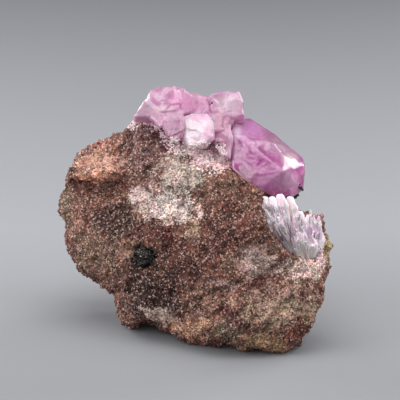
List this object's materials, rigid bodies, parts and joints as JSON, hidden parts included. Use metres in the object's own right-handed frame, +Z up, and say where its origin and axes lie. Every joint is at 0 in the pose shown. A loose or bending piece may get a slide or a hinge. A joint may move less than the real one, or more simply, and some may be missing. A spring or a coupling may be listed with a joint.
{
  "type": "cobaltoan calcite",
  "caption": "Pink calcite crystals in a crown, a large magenta crystal and a fan of lilac blades on a chunk of sandy red-brown rock with a flat base.",
  "frame": {"origin": "middle of the footprint box, on the surface that the specimen stands on", "axes": "+Z up, -Y out of the display face, +X to the right as the display face is looked at"},
  "size_m": [0.0706, 0.0498, 0.0627],
  "materials": {
    "host_rock": "rough, granular broken rock",
    "pale_pink_calcite": "glossy cleavage faces, milky inside",
    "milky_calcite": "milky, with a waxy gloss",
    "magenta_calcite": "glossy crystal faces, cloudy inside",
    "lilac_calcite": "glossy blades",
    "dark_ore": "dull metallic gloss on small crystal faces"
  },
  "bodies": {
    "root": {"matrix": "host_rock", "crown_crystals": "pale_pink_calcite", "white_crystal": "milky_calcite", "large_crystal": "magenta_calcite", "blade_crystals": "lilac_calcite", "ore_druse": "dark_ore"}
  },
  "joints": []
}
